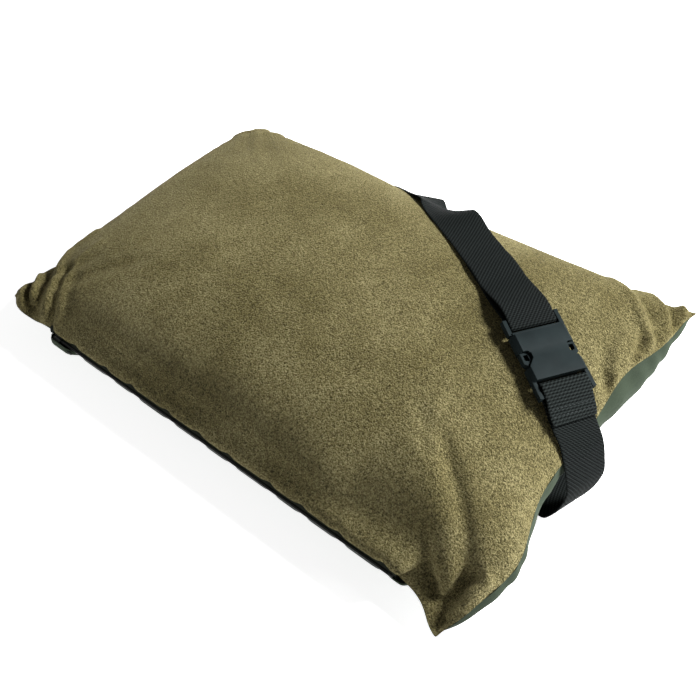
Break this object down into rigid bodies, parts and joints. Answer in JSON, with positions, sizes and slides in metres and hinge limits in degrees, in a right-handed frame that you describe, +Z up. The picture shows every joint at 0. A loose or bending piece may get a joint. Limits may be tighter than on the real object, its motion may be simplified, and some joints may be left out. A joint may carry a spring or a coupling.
{
  "type": "camp pillow",
  "caption": "Stuffed rectangular camp pillow with a fleece top, a flat under panel, a hidden edge zip and a wide webbing strap with a side-release buckle.",
  "frame": {"origin": "on the surface that the pillow lies on, below the middle of the pillow, on the flat of the under panel", "axes": "+X along the length towards the short side that the strap goes round, +Y across the width away from the zip side, +Z up from the under panel to the fleece"},
  "size_m": [0.6177, 0.4218, 0.1367],
  "materials": {
    "fleece": "matte",
    "peach_fabric": "matte",
    "lining": "matte",
    "fibre": "matte",
    "webbing": "satin",
    "thread": "satin",
    "moulded_plastic": "satin",
    "zip_tape": "matte",
    "zip_teeth": "satin",
    "zip_metal": "satin"
  },
  "bodies": {
    "pillow": {"fleece_top_panel": "fleece", "under_panel": "peach_fabric", "inner_casing_top": "lining", "inner_casing_base": "lining", "fibre_filling": "fibre", "zip_flap": "fleece", "zip_tape_upper": "zip_tape", "zip_tape_lower": "zip_tape", "zip_coil_upper": "zip_teeth", "zip_coil_lower": "zip_teeth", "zip_end_stops": "zip_metal", "strap_long": "webbing", "strap_short": "webbing", "anchor_stitching": "thread", "strap_end_stitching": "thread", "buckle_socket": "moulded_plastic"},
    "zip_slider": {"zip_slider": "zip_metal"},
    "zip_pull": {"zip_pull_tab": "zip_metal"},
    "plug": {"buckle_plug": "moulded_plastic"},
    "prong_left": {"buckle_prong_left": "moulded_plastic"},
    "prong_right": {"buckle_prong_right": "moulded_plastic"}
  },
  "joints": [
    {"name": "zip_slide", "type": "slide", "parent": "pillow", "child": "zip_slider", "axis": [1, 0, 0], "range_m": [0, 0.43], "deforming": ["zip_coil_upper", "zip_coil_lower"]},
    {"name": "zip_pull_hinge", "type": "hinge", "parent": "zip_slider", "child": "zip_pull", "pos_m": [-0.22, -0.20056, 0.02375], "axis": [0, 0.3746, -0.9272], "range_deg": [0, 150]},
    {"name": "buckle_release", "type": "slide", "parent": "pillow", "child": "plug", "axis": [-0.8426, 0.4767, 0.2504], "range_m": [0, 0.046], "deforming": ["strap_long", "buckle_prong_left", "buckle_prong_right"]},
    {"name": "prong_squeeze", "type": "hinge", "parent": "plug", "child": "prong_left", "pos_m": [0.21678, 0.06681, 0.12075], "axis": [-0.2682, 0.0316, -0.9628], "range_deg": [0, 9], "stiffness_Nm_per_rad": 0.02},
    {"name": "prong_squeeze_right", "type": "hinge", "parent": "plug", "child": "prong_right", "pos_m": [0.1981, 0.03168, 0.12479], "axis": [0.2682, -0.0316, 0.9628], "range_deg": [0, 9], "stiffness_Nm_per_rad": 0.02}
  ],
  "couplings": [
    {"joint": "prong_squeeze_right", "follows": "prong_squeeze", "ratio": 1}
  ]
}
